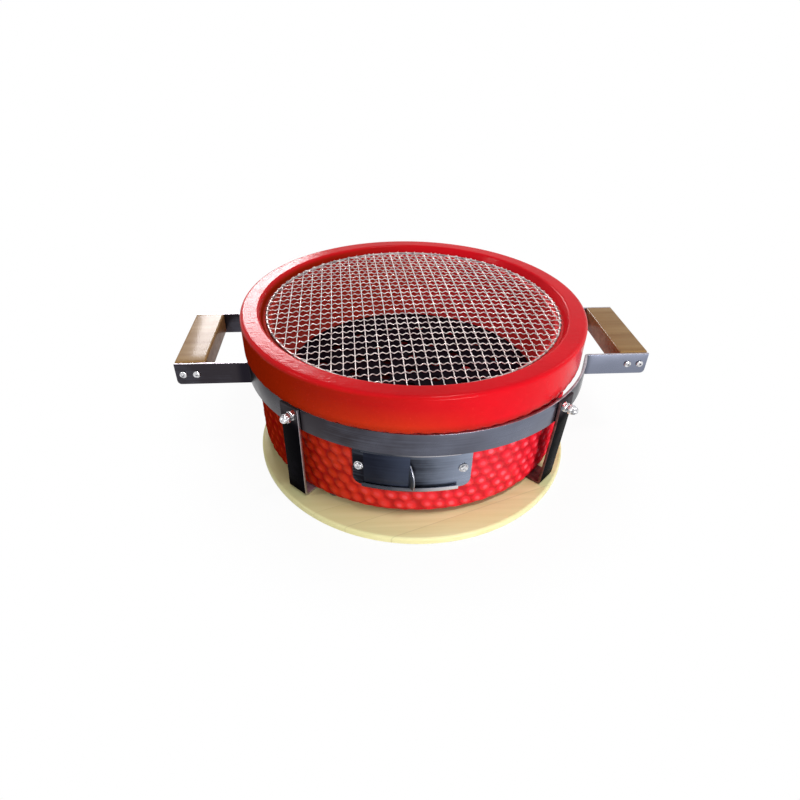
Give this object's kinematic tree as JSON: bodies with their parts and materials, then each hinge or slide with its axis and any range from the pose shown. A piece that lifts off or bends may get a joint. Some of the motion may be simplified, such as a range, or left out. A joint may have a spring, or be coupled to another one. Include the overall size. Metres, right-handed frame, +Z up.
{
  "type": "clay charcoal grill",
  "caption": "Round glazed clay table grill in a flat-bar steel carrier with wooden handles, a woven wire grid, a charcoal grate and a sliding air door, standing on a round wooden board.",
  "frame": {"origin": "on the bowl's vertical axis, at the underside of the board that the grill stands on", "axes": "+Z up, +X along the handle arms to the right, -Y towards the front with the air door"},
  "size_m": [0.543, 0.422, 0.1717],
  "materials": {
    "red_glazed_clay": "glossy red glaze over a dimpled lower wall and a smooth rim",
    "board_wood": "satin, pale glued planks",
    "handle_wood": "sanded and oiled",
    "frame_flat_bar": "satin, dark where it mirrors a dark room",
    "slide_sheet": "satin rolled sheet",
    "bright_fasteners": "bright",
    "grid_wire": "drawn wire, satin",
    "black_iron": "matt black",
    "black_pad": "matt"
  },
  "bodies": {
    "board": {"serving_board": "board_wood"},
    "grill": {"bowl_pad_1": "black_pad", "bowl_pad_2": "black_pad", "bowl_pad_3": "black_pad", "clay_bowl": "red_glazed_clay", "front_hoop": "frame_flat_bar", "handle_screw_left_front_1": "bright_fasteners", "handle_screw_left_front_2": "bright_fasteners", "handle_screw_left_rear_1": "bright_fasteners", "handle_screw_left_rear_2": "bright_fasteners", "handle_screw_right_front_1": "bright_fasteners", "handle_screw_right_front_2": "bright_fasteners", "handle_screw_right_rear_1": "bright_fasteners", "handle_screw_right_rear_2": "bright_fasteners", "left_handle": "handle_wood", "leg_1": "frame_flat_bar", "leg_2": "frame_flat_bar", "leg_3": "frame_flat_bar", "leg_4": "frame_flat_bar", "leg_bolt_1": "bright_fasteners", "leg_bolt_2": "bright_fasteners", "leg_bolt_3": "bright_fasteners", "leg_bolt_4": "bright_fasteners", "leg_cap_nut_1": "bright_fasteners", "leg_cap_nut_2": "bright_fasteners", "leg_cap_nut_3": "bright_fasteners", "leg_cap_nut_4": "bright_fasteners", "leg_nut_1": "bright_fasteners", "leg_nut_2": "bright_fasteners", "leg_nut_3": "bright_fasteners", "leg_nut_4": "bright_fasteners", "rear_hoop": "frame_flat_bar", "right_handle": "handle_wood", "vent_bolt_left": "bright_fasteners", "vent_bolt_right": "bright_fasteners", "vent_plate": "slide_sheet"},
    "grid": {"cooking_grid": "grid_wire"},
    "grate": {"charcoal_grate": "black_iron"},
    "air_door": {"vent_door": "slide_sheet"}
  },
  "joints": [
    {"name": "grill_lifts_off", "type": "slide", "parent": "board", "child": "grill", "axis": [0, 0, 1], "range_m": [0, 0.2]},
    {"name": "grid_lifts_out", "type": "slide", "parent": "grill", "child": "grid", "axis": [0, 0, 1], "range_m": [0, 0.06]},
    {"name": "grate_lifts", "type": "slide", "parent": "grill", "child": "grate", "axis": [0, 0, 1], "range_m": [0, 0.08]},
    {"name": "air_door_slides", "type": "hinge", "parent": "grill", "child": "air_door", "pos_m": [0, 0, 0.0753], "axis": [0, 0, 1], "range_deg": [0, 14]}
  ]
}
